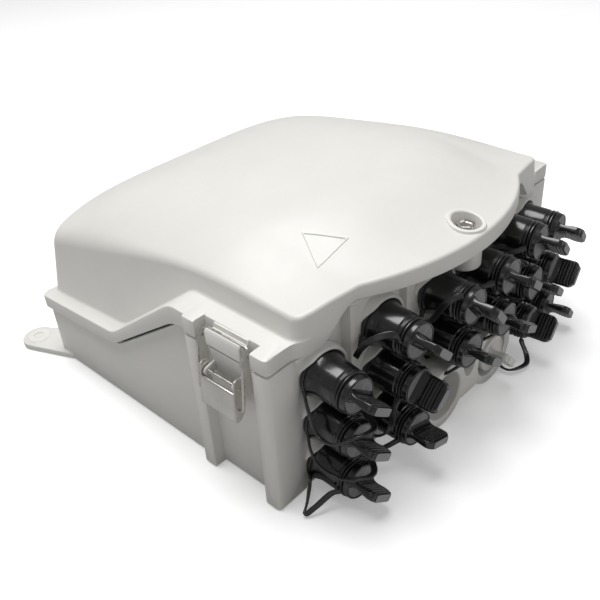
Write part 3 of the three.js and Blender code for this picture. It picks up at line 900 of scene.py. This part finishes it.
def seat_rim():
    """Round seat of a port, with a crescent rim over the upper right of the cap root."""
    shape = Shape()
    boss = [(10.8, -7), (10.8, 0), (15.8, 0), (16.2, -0.6), (16.3, -7), (10.8, -7)]
    shape.add(*lathe(boss, 44, False, False))
    rings = []
    steps = 28
    for i in range(steps + 1):
        angle = math.radians(lerp(-35, 165, i / steps))
        rise = smooth(4 * min(i, steps - i) / steps)
        height = lerp(0.2, 5.6, rise)
        ring = []
        for radius, reach in (
            (15.9, -1),
            (15.9, height - 0.5),
            (16.3, height),
            (17.3, height),
            (17.9, height - 0.7),
            (18.3, -1),
        ):
            ring.append((radius * math.cos(angle), radius * math.sin(angle), reach))
        rings.append(ring)
    return shape.add(*loft(rings))


def mounting_ear():
    """Right-hand ear: a flat tongue with a washer rim and a screw hole."""
    outline = [(112, 122), (147, 106), (163.2, 145.5)]
    for i in range(13):
        a = math.radians(-20 + 190 * i / 12)
        outline.append((151 + 13 * math.cos(a), 150 + 13 * math.sin(a)))
    shape = Shape().add(*slab(outline, 0, 4.6, 0.8))
    washer = [(4.5, 0), (4.5, 5.0), (8.6, 5.0), (9.2, 4.4), (9.2, 0), (4.5, 0)]
    shape.add(*lathe(washer, 36, False, False), move=shift(151, 150, 0))
    return shape


def latch_boss():
    """Dished boss under the lid's catch block, and the two ears that hold the lever pin."""
    shape = Shape()
    face = [
        (142.5, 72.5),
        (147.0, 79.5),
        (148.6, 84),
        (148.9, 90),
        (149.7, 96),
        (151.0, 101.2),
        (151.3, 102.6),
        (142.5, 102.6),
    ]
    ear = [(144, 85.0), (155.0, 85.3)]
    ear += [(155 + 2.7 * math.cos(a), 88 + 2.7 * math.sin(a)) for a in (-1.0, -0.5, 0, 0.5, 1.0, 1.5)]
    ear += [(152.5, 91.2), (144, 92.5)]
    for outline, low, high in ((face, -12.7, 12.7), (ear, -12.6, -10.8), (ear, 10.8, 12.6)):
        shape.add(*extrude_y(outline, low, high, ((0, 0.5), (0.2, 0.15), (0.5, 0))))
    return shape


def base_lug(x):
    shape = Shape()
    knuckle = lathe([(3.9, 0), (4.5, 0.6), (4.5, 11.4), (3.9, 12)], 32)
    shape.add(*knuckle, move=shift(x, HINGE_Y, HINGE_Z) @ AXIS_X)
    shape.add(*block(x, x + 12, REAR_Y - 2.5, HINGE_Y, 30, PARTING_REAR - 0.3))
    shape.add(*block(x, x + 12, REAR_Y + 0.4, HINGE_Y, 43, HINGE_Z))
    return shape


def front_ridge():
    """Raised lip of the port wall, just under the edge of the visor."""
    path = []
    for i in range(121):
        x = lerp(-131, 131, i / 120)
        step = smooth((96 - abs(x)) / 8)
        inner_step = smooth((49 - abs(x)) / 7)
        y = -124.6 - 8.0 * step - 5.4 * inner_step
        path.append((x, y, front_parting(x) - 1.6))
    section = rounded_rectangle(2.2, 1.3, 1.0, 4)
    return tube(path, section, up=Vector((0, 0, 1)))


def build_base():
    shape = base_wall_shape()
    for move in (Matrix.Identity(4), FLIP_X):
        shape.join(mounting_ear(), move)
        shape.join(latch_boss(), move)
    for x in (-112, -88, 76, 100):
        shape.join(base_lug(x))
    rim = seat_rim()
    for seat in SEATS:
        shape.join(rim, port_frame(seat))
    shape.add(*front_ridge())
    spigot = lathe([(10.6, -4), (10.6, 8.0), (13, 8.0), (13, -4), (10.6, -4)], 40, False, False)
    for x in (-GLAND_X, GLAND_X):
        shape.add(*spigot, move=shift(x, PANEL_Y, GLAND_Z) @ AXIS_MINUS_Y)
    boss = [(5.2, 109), (10.0, 109), (10.6, 109.8), (10.6, 121.9), (10.0, 122.5), (5.2, 122.5)]
    shape.add(*lathe(boss, 44, True, False), move=shift(0, BOLT_Y, 0))
    shape.add(*block(-8, 8, BOLT_Y + 2, PANEL_Y + 2, 109, 122.5))
    for x in (-82, 76):
        shape.add(*block(x, x + 6, -83, -73, WALL - 1, 38))
    for y in (-20, 50, 90):
        shape.add(*block(-144.5, 144.5, y, y + 1.6, WALL - 0.5, WALL + 4))
    make_piece("base", shape, [SHELL], "base", ["base_shell"], sharp=38)


# ---- Ports -----------------------------------------------------------------------------


def adapter_shape():
    shape = Shape()
    barrel = [
        (5, -24), (8.9, -24), (9.4, -23.5), (9.4, -14), (9.4, -7.5), (10, -7.3), (10, 0.3),
        (13.6, 0.3), (14, 0.7), (14, 2.5), (13.6, 2.9), (9.0, 2.9), (9.0, 23.3), (8.4, 24),
        (5, 24), (5, -24),
    ]
    shape.add(*lathe(barrel, 40, False, False))
    nut = []
    for z, scale in ((-13, 0.97), (-12.6, 1.0), (-8.0, 1.0), (-7.6, 0.97)):
        nut.append(circle(13 * scale, z, 6))
    shape.add(*loft(nut))
    return shape


def cap_sleeve(flat_slot=1):
    """Tapered sleeve of a dust cap, root ring first, flat end last."""
    end = CAP_REACH
    profile = [
        (9.9, 3.3),
        (14.9, 3.3),
        (15.1, 3.7),
        (15.0, 4.6),
        (14.5, 5.8),
        (13.9, 7.6),
        (13.5, 10.0),
        (12.9, end - 10.6),
        (12.7, end - 10.0),
        (12.0, end - 9.7),
        (11.8, end - 9.2),
        (12.0, end - 8.7),
        (12.6, end - 8.5),
        (12.9, end - 8.0),
        (12.9, end - 7.4),
        (12.6, end - 6.9),
        (11.3, end - 6.6),
        (10.9, end - 6.0),
        (10.9, end - 4.6),
        (11.2, end - 4.1),
        (12.2, end - 3.9),
        (12.4, end - 3.3),
        (12.0, end - 2.7),
        (11.9, end - 0.7),
        (11.6, end - 0.15),
        (11.1, end),
        (10.7, end - 0.05),
        (10.5, end - 0.4),
    ]
    shape = Shape()
    shape.add(*lathe(profile, 56, False, False))
    disc = [(10.5, end - 0.4), (0.02, end - 0.39)]
    shape.add(*lathe(disc, 56, False, True), slot=flat_slot)
    shape.add(*lathe([(9.9, 3.3), (9.9, end - 5), (0.02, end - 5)], 56, False, True))
    return shape


def cap_grip(length=18.2, half_width=10.0, ridges=5):
    """Finger blade of a cap as (body, tip face): thin neck, ridged pad, flat thick tip."""
    body = []
    pad_start, pad_end = 0.30, 0.93
    stations = 76
    corner = 4.6
    for i in range(stations + 1):
        u = i / stations
        z = length * u
        over = max(z - (length - corner), 0.0)
        width = half_width - corner + math.sqrt(max(corner**2 - over**2, 0.0))
        width = max(width, half_width - corner + 1.6) + 0.9 * math.exp(-((z / 1.6) ** 1.5))
        depth = lerp(1.75, 2.75, smooth((u - 0.2) / 0.5)) + 2.9 * math.exp(-((z / 2.1) ** 1.2))
        ridge = 0.0
        if pad_start < u < pad_end:
            phase = (u - pad_start) / (pad_end - pad_start) * ridges
            ridge = -0.75 + 1.0 * abs(math.sin(phase * math.pi)) ** 0.6
        ring = []
        for x, y in superellipse(width, 1.0, 40):
            inside = smooth((width - 0.9 - abs(x)) / 0.9)
            ring.append((x, y * (depth + ridge * inside), z + CAP_REACH - 0.9))
        body.append(ring)
    last = body[-1]
    tip = [[(x * 0.97, y * 0.90, z + 0.35) for x, y, z in last]]
    body.append(tip[0])
    tip.append([(x * 0.5, y * 0.5, z + 0.02) for x, y, z in tip[0]])
    return loft(body, False, False), loft(tip, False, True)


def superellipse(half_a, half_b, count, power=0.28):
    points = []
    for i in range(count):
        angle = 2 * math.pi * i / count
        c, s = math.cos(angle), math.sin(angle)
        points.append((half_a * sign(c) * abs(c) ** power, half_b * sign(s) * abs(s) ** power))
    return points


def cap_shape():
    shape = cap_sleeve()
    blade, tip = cap_grip()
    shape.add(*blade, slot=0)
    shape.add(*tip, slot=1)
    return shape


SIDE_LOOP = (190, 180, ((-18, -4, 6), (-20, -5, 13), (-17, -3, 20)))

# The free run of each tether as (across, up, reach) from its port, and the angles at
# which it leaves the root ring and meets the ring in the cap's groove.
TETHERS = {
    1: (
        200,
        285,
        ((-18, -13, 9), (-19, -26, 17), (-18, -25, 30),
         (-11, -16.5, 41), (0, -15.8, 43), (4, -15, 33)),
    ),
    2: (
        205,
        280,
        ((-17.5, -12, 8), (-18, -19, 15), (-14, -23, 27),
         (-10, -19, 38), (-1, -16.8, 43), (5, -15, 34)),
    ),
    3: (195, 190, ((-19, -4, 7), (-27, -10, 13), (-33, -13.8, 17), (-27, -10, 20), (-17, -4, 23))),
    4: (190, 165, ((-21, -8, 4), (-27, -8, 7), (-26, 0, 11), (-22, 7, 17), (-15, 9.5, 24))),
    5: (215, 195, ((-17, -19, 4), (-23, -32, 11), (-21, -33, 19), (-16.5, -26, 24), (-14.5, -12, 25))),
    6: (210, 200, ((-18, -12, 5), (-21, -16, 12), (-18, -11, 20))),
    7: (215, 140, ((-16, -13, 5), (-18, -8, 13), (-17.5, 6, 21), (-12, 12, 27))),
    8: (250, 240, ((-9, -18, 6), (-12, -22, 13), (-10, -18, 20))),
    9: (190, 180, ((-19, -5, 6), (-22, -5, 13), (-18, -3, 20))),
    10: (240, 235, ((-12, -17, 6), (-14, -20, 13), (-11, -16, 20))),
    11: SIDE_LOOP,
    12: (235, 225, ((-13, -15, 6), (-15, -17, 13), (-12, -14, 20))),
    13: (
        240,
        265,
        ((-12, -21, 8), (-22, -27, 19), (-26, -27, 30),
         (-14, -27, 37), (-5, -26, 34), (-2, -18, 28)),
    ),
    14: SIDE_LOOP,
    15: (225, 215, ((-14, -14, 6), (-16, -15, 13), (-13, -12, 20))),
    16: (200, 190, ((-17, -8, 6), (-19, -9, 13), (-16, -7, 20))),
}


def tether_shape(start_angle, end_angle, run):
    """Root ring, strap and groove ring of one tether, in the frame of its port."""
    shape = Shape()
    root = [(14.2, 0.4), (15.4, 0.4), (15.7, 0.8), (15.7, 2.6), (15.4, 3.0), (14.2, 3.0)]
    root.append(root[0])
    shape.add(*lathe(root, 44, False, False))
    groove = CAP_REACH - 5.3
    ring = [
        (11.1, groove - 0.55),
        (12.3, groove - 0.6),
        (12.9, groove - 0.3),
        (12.9, groove + 0.3),
        (12.3, groove + 0.6),
        (11.1, groove + 0.55),
        (11.1, groove - 0.55),
    ]
    shape.add(*lathe(ring, 44, False, False))

    def spot(angle, radius, reach):
        turn = math.radians(angle)
        return (radius * math.cos(turn), radius * math.sin(turn), reach)

    controls = [spot(start_angle, 15.1, 1.7), *run, spot(end_angle, 12.7, groove)]
    path = smooth_path(controls, 8)
    section = rounded_rectangle(1.9, 0.8, 0.6, 3)

    def away_from_port(point):
        return Vector((point.x, point.y, 4.2))

    return shape.add(*tube(path, section, facing=away_from_port))


def build_ports():
    adapter = adapter_shape()
    cap = cap_shape()
    for index, seat in enumerate(SEATS):
        number = f"{index + 1:02d}"
        body = f"cap_{number}"
        place = port_frame(seat)
        make_piece(
            f"bulkhead_adapter_{number}",
            Shape().join(adapter, place),
            [ADAPTER],
            "base",
            [f"adapter_{number}"],
        )
        turned = port_frame(seat, math.radians(GRIP_TWISTS[index]))
        make_piece(
            f"port_cap_{number}",
            Shape().join(cap, turned),
            [BLACK, BLACK_FACE],
            body,
            [f"dust_cap_{number}"],
            sharp=50,
        )
        strap = make_piece(
            f"tether_{number}",
            Shape().join(tether_shape(*TETHERS[index + 1]), place),
            [STRAP],
            None,
        )
        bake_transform(strap)


# ---- Glands ----------------------------------------------------------------------------


def gland_plate_outline():
    """Figure of eight, anticlockwise, with a deep notch above the web and a flat one below."""
    radius = 23.6
    right = []
    for i in range(37):
        a = math.radians(lerp(-142, 165, i / 36))
        right.append((GLAND_X + radius * math.cos(a), GLAND_Z + radius * math.sin(a)))
    notch = [(4.6, 26.6), (2.6, 24.4), (0.0, 23.6), (-2.6, 24.4), (-4.6, 26.6)]
    left = [(-x, z) for x, z in reversed(right)]
    foot = [(-8.6, 9.3), (-6.8, 9.0), (6.8, 9.0), (8.6, 9.3)]
    return right + notch + left + foot


def build_gland_plate():
    """Two collars bridged by a web, standing on the port panel."""
    depth = 21.0
    shape = Shape()
    shape.add(*slab(gland_plate_outline(), 0.3, depth, 0.7), move=shift(0, PANEL_Y, 0) @ AXIS_MINUS_Y)
    plate = make_piece("gland_collars", shape, [SHELL_BRIGHT], "base", ["gland_plate"], sharp=40)
    bore = [(17.6, -1), (17.6, depth - 0.9), (18.3, depth - 0.1), (18.8, depth + 2)]
    for x in (-GLAND_X, GLAND_X):
        cutter = Shape().add(*lathe(bore, 72), move=shift(x, PANEL_Y, GLAND_Z) @ AXIS_MINUS_Y)
        cut(plate, cutter)


def gland_nut_shape():
    shape = Shape()
    sides = 96
    rings = []
    for outer, z in ((17.1, 0.4), (17.1, 7.6), (16.4, 8.8), (15.6, 9.1), (13.6, 9.1), (13.4, 8.7)):
        ring = []
        for i in range(sides):
            angle = 2 * math.pi * i / sides
            groove = smooth((math.cos(angle * 8) - 0.55) / 0.3) * (1.5 if outer > 15.5 else 0)
            radius = outer - groove
            ring.append((radius * math.cos(angle), radius * math.sin(angle), z))
        rings.append(ring)
    rings.append(circle(13.4, 8.4, sides))
    rings.append(circle(13.4, 0.4, sides))
    rings.append(rings[0])
    return shape.add(*loft(rings, False, False))


def plug_shape():
    """Light grey blanking plug: shank, broad rimmed head and a grip like the caps'."""
    head = 21.5
    profile = [
        (0.02, -4),
        (6.6, -4),
        (7.0, -3.4),
        (7.0, head - 6.4),
        (12.7, head - 6.4),
        (13.2, head - 5.9),
        (13.2, head - 0.7),
        (12.6, head),
        (11.4, head),
        (11.0, head - 0.7),
        (0.02, head - 0.7),
    ]
    shape = Shape()
    shape.add(*lathe(profile, 56, True, True))
    blade, tip = cap_grip(15.5, 9.4, 4)
    grip = Shape().add(*blade).add(*tip)
    shape.join(grip, shift(0, 0, head - CAP_REACH))
    return shape


def build_glands():
    build_gland_plate()
    for side, x in (("left", -GLAND_X), ("right", GLAND_X)):
        place = shift(x, PANEL_Y, GLAND_Z) @ AXIS_MINUS_Y
        make_piece(
            f"gland_ring_{side}",
            Shape().join(gland_nut_shape(), place),
            [SHELL],
            f"gland_nut_{side}",
            [f"gland_nut_{side}"],
        )
    twist = Matrix.Rotation(math.radians(48), 4, "Y")
    place = shift(GLAND_X, PANEL_Y, GLAND_Z) @ twist @ AXIS_MINUS_Y
    make_piece(
        "grey_plug",
        Shape().join(plug_shape(), place),
        [SHELL_BRIGHT],
        "blanking_plug",
        ["blanking_plug"],
        sharp=50,
    )


# ---- Latches ---------------------------------------------------------------------------


def bail_path():
    """Centre line of the right-hand wire bail."""
    corners = [
        (157.2, -13.4, 74),
        (157.2, -18.5, 74),
        (154, -18.5, 103),
        (147.8, -18.5, 113),
        (147.8, 18.5, 113),
        (154, 18.5, 103),
        (157.2, 18.5, 74),
        (157.2, 13.4, 74),
    ]
    corners = [Vector((x, LATCH_Y + y, z)) for x, y, z in corners]
    path = [corners[0]]
    for before, corner, after in zip(corners, corners[1:], corners[2:]):
        start = corner + (before - corner).normalized() * 3
        end = corner + (after - corner).normalized() * 3
        for i in range(7):
            t = i / 6
            path.append(start * (1 - t) ** 2 + corner * 2 * t * (1 - t) + end * t * t)
    path.append(corners[-1])
    return path


def lever_shape():
    """Right-hand lever: folded sheet with two tall rails and a plate across their foot."""
    shape = Shape()
    rail = [
        (153.2, 94.0),
        (156.0, 94.4),
        (157.6, 93.6),
        (158.4, 86.0),
        (160.0, 70.0),
        (160.2, 67.0),
        (159.4, 65.6),
        (156.6, 65.8),
        (153.0, 70.0),
        (151.6, 78.0),
        (151.8, 90.0),
    ]
    for low, high in ((-14.6, -13.2), (13.2, 14.6)):
        shape.add(*extrude_y(rail, low, high, ((0, 0.25), (0.25, 0))))
    knots = [(157.0, 84.4), (157.7, 84.9), (158.4, 84.2), (159.0, 78)]
    knots += [(159.7, 69), (159.7, 66.8), (158.4, 65.7)]
    path = smooth_path([(x, LATCH_Y, z) for x, z in knots], 5)
    section = rounded_rectangle(13.6, 0.6, 0.5, 3)
    shape.add(*tube(path, section, up=Vector((0, 0, 1))))
    return shape


def build_latches():
    wire = Shape().add(*tube(bail_path(), round_section(0.85, 14), up=Vector((1, 0, 0))))
    pin_turning = lathe([(1.0, -15.9), (1.3, -15.6), (1.3, 15.6), (1.0, 15.9)], 24)
    pin = Shape().add(*pin_turning, move=shift(155, LATCH_Y, 88) @ AXIS_MINUS_Y)
    parts = (
        ("bail_wire", wire, STEEL, "{}_bail", "{}_latch_bail"),
        ("lever_sheet", lever_shape(), SHEET, "{}_lever", "{}_latch_lever"),
        ("pin", pin, STEEL, "base", "{}_latch_pin"),
    )
    for side, move in (("right", Matrix.Identity(4)), ("left", FLIP_X)):
        for name, shape, material, body, node in parts:
            placed = Shape().join(shape, move)
            make_piece(
                f"{side}_{name}", placed, [material], body.format(side), [node.format(side)]
            )


# ---- Lock bolt and hidden parts --------------------------------------------------------


def build_bolt():
    shape = Shape()
    head = []
    for z, radius in ((129.6, 6.0), (136.0, 6.0), (136.6, 5.5), (136.8, 4.8), (135.8, 4.2)):
        ring = []
        for i in range(60):
            angle = 2 * math.pi * i / 60
            flat = 1 - 0.055 * (1 + math.cos(5 * angle))
            ring.append((radius * flat * math.cos(angle), radius * flat * math.sin(angle), z))
        head.append(ring)
    shape.add(*loft(head))
    shape.add(*lathe([(2.6, 112), (3, 112.6), (3, 129.7)], 28))
    shape.add(*lathe([(6.6, 129.5), (7, 129.8), (7, 130.4), (6.6, 130.8)], 40))
    placed = Shape().join(shape, shift(0, BOLT_Y, 0))
    make_piece("security_bolt", placed, [STEEL], "lock_bolt", ["lock_bolt"])


def dress_hidden_nodes():
    """CAD nodes whose shape is kept get their finish here."""
    looks = {
        "lid_gasket": SEAL,
        "gland_seal_left": SEAL,
        "gland_seal_right": SEAL,
        "hinge_pin_left": STEEL,
        "hinge_pin_right": STEEL,
        "cable_clamp_left": SHEET,
        "cable_clamp_right": SHEET,
        "splice_tray_pin": STEEL,
        "bolt_insert": BRASS,
        "splitter_module": INNER,
        "splice_tray": TRAY,
        "splice_tray_cover": CLEAR,
    }
    for node, material in looks.items():
        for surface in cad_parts[node].material_slots:
            surface.link = "OBJECT"  # the CAD mesh keeps its own list
            surface.material = material


# ---- Stage -----------------------------------------------------------------------------


CAMERA_ANGLES = (-44.882, 34.028, -4.397)  # azimuth, elevation and roll, degrees
CAMERA_PLACE = (-350.61, -353.90, 356.15)
CAMERA_LENS = 44.83


def build_camera():
    azimuth, elevation, roll = (math.radians(angle) for angle in CAMERA_ANGLES)
    back = Vector(
        (
            math.sin(azimuth) * math.cos(elevation),
            -math.cos(azimuth) * math.cos(elevation),
            math.sin(elevation),
        )
    )
    right = Vector((math.cos(azimuth), math.sin(azimuth), 0))
    up = back.cross(right)
    turned_right = right * math.cos(roll) + up * math.sin(roll)
    turned_up = up * math.cos(roll) - right * math.sin(roll)
    data = bpy.data.cameras.new("camera")
    data.lens = CAMERA_LENS
    data.sensor_width = 36
    data.clip_end = 30
    camera = bpy.data.objects.new("camera", data)
    matrix = Matrix.Identity(4)
    for row in range(3):
        matrix[row][0] = turned_right[row]
        matrix[row][1] = turned_up[row]
        matrix[row][2] = back[row]
        matrix[row][3] = CAMERA_PLACE[row] * MM
    camera.matrix_world = matrix
    bpy.context.scene.collection.objects.link(camera)
    bpy.context.scene.camera = camera


def build_floor():
    size = 6.0
    mesh = bpy.data.meshes.new("floor")
    level = -0.0004
    mesh.from_pydata(
        [(-size, -size, level), (size, -size, level), (size, size, level), (-size, size, level)],
        [],
        [(0, 1, 2, 3)],
    )
    material = bpy.data.materials.new("floor_pale")
    material.use_nodes = True
    tree = material.node_tree
    shader = tree.nodes["Principled BSDF"]
    tone = mix_colour(tree, ramp(tree, noise(tree, 3), 0, 1), (0.50, 0.50, 0.50), (0.53, 0.53, 0.53))
    rays = tree.nodes.new("ShaderNodeLightPath")
    shown = mix_colour(tree, rays.outputs["Is Camera Ray"], tone, (0.93, 0.93, 0.93))
    tree.links.new(shown, shader.inputs["Base Color"])
    shader.inputs["Emission Color"].default_value = (1, 1, 1, 1)
    glow = ramp(tree, rays.outputs["Is Camera Ray"], 0, 0.26, 0, 1)
    tree.links.new(glow, shader.inputs["Emission Strength"])
    shader.inputs["Roughness"].default_value = 0.9
    mesh.materials.append(material)
    floor = bpy.data.objects.new("floor", mesh)
    bpy.context.scene.collection.objects.link(floor)


def area_light(name, place, target, size, power):
    data = bpy.data.lights.new(name, "AREA")
    data.shape = "DISK"
    data.size = size
    data.energy = power
    light = bpy.data.objects.new(name, data)
    light.location = place
    towards = Vector(target) - Vector(place)
    light.rotation_euler = towards.to_track_quat("-Z", "Y").to_euler()
    bpy.context.scene.collection.objects.link(light)


def build_lights():
    area_light("key", (-0.05, 0.30, 1.8), (0, 0, 0.08), 1.4, 31)
    area_light("front_fill", (0.5, -1.6, 0.8), (0, -0.1, 0.06), 1.0, 2.9)
    area_light("left_fill", (-1.6, -0.5, 0.7), (0, 0, 0.06), 0.8, 0.6)
    world = bpy.data.worlds.new("studio")
    world.use_nodes = True
    background = world.node_tree.nodes["Background"]
    background.inputs["Color"].default_value = (1, 1, 1, 1)
    background.inputs["Strength"].default_value = 0.26
    bpy.context.scene.world = world
    bpy.context.scene.view_settings.view_transform = "Standard"


build_lid()
build_base()
build_ports()
build_glands()
build_latches()
build_bolt()
dress_hidden_nodes()
build_camera()
build_floor()
build_lights()
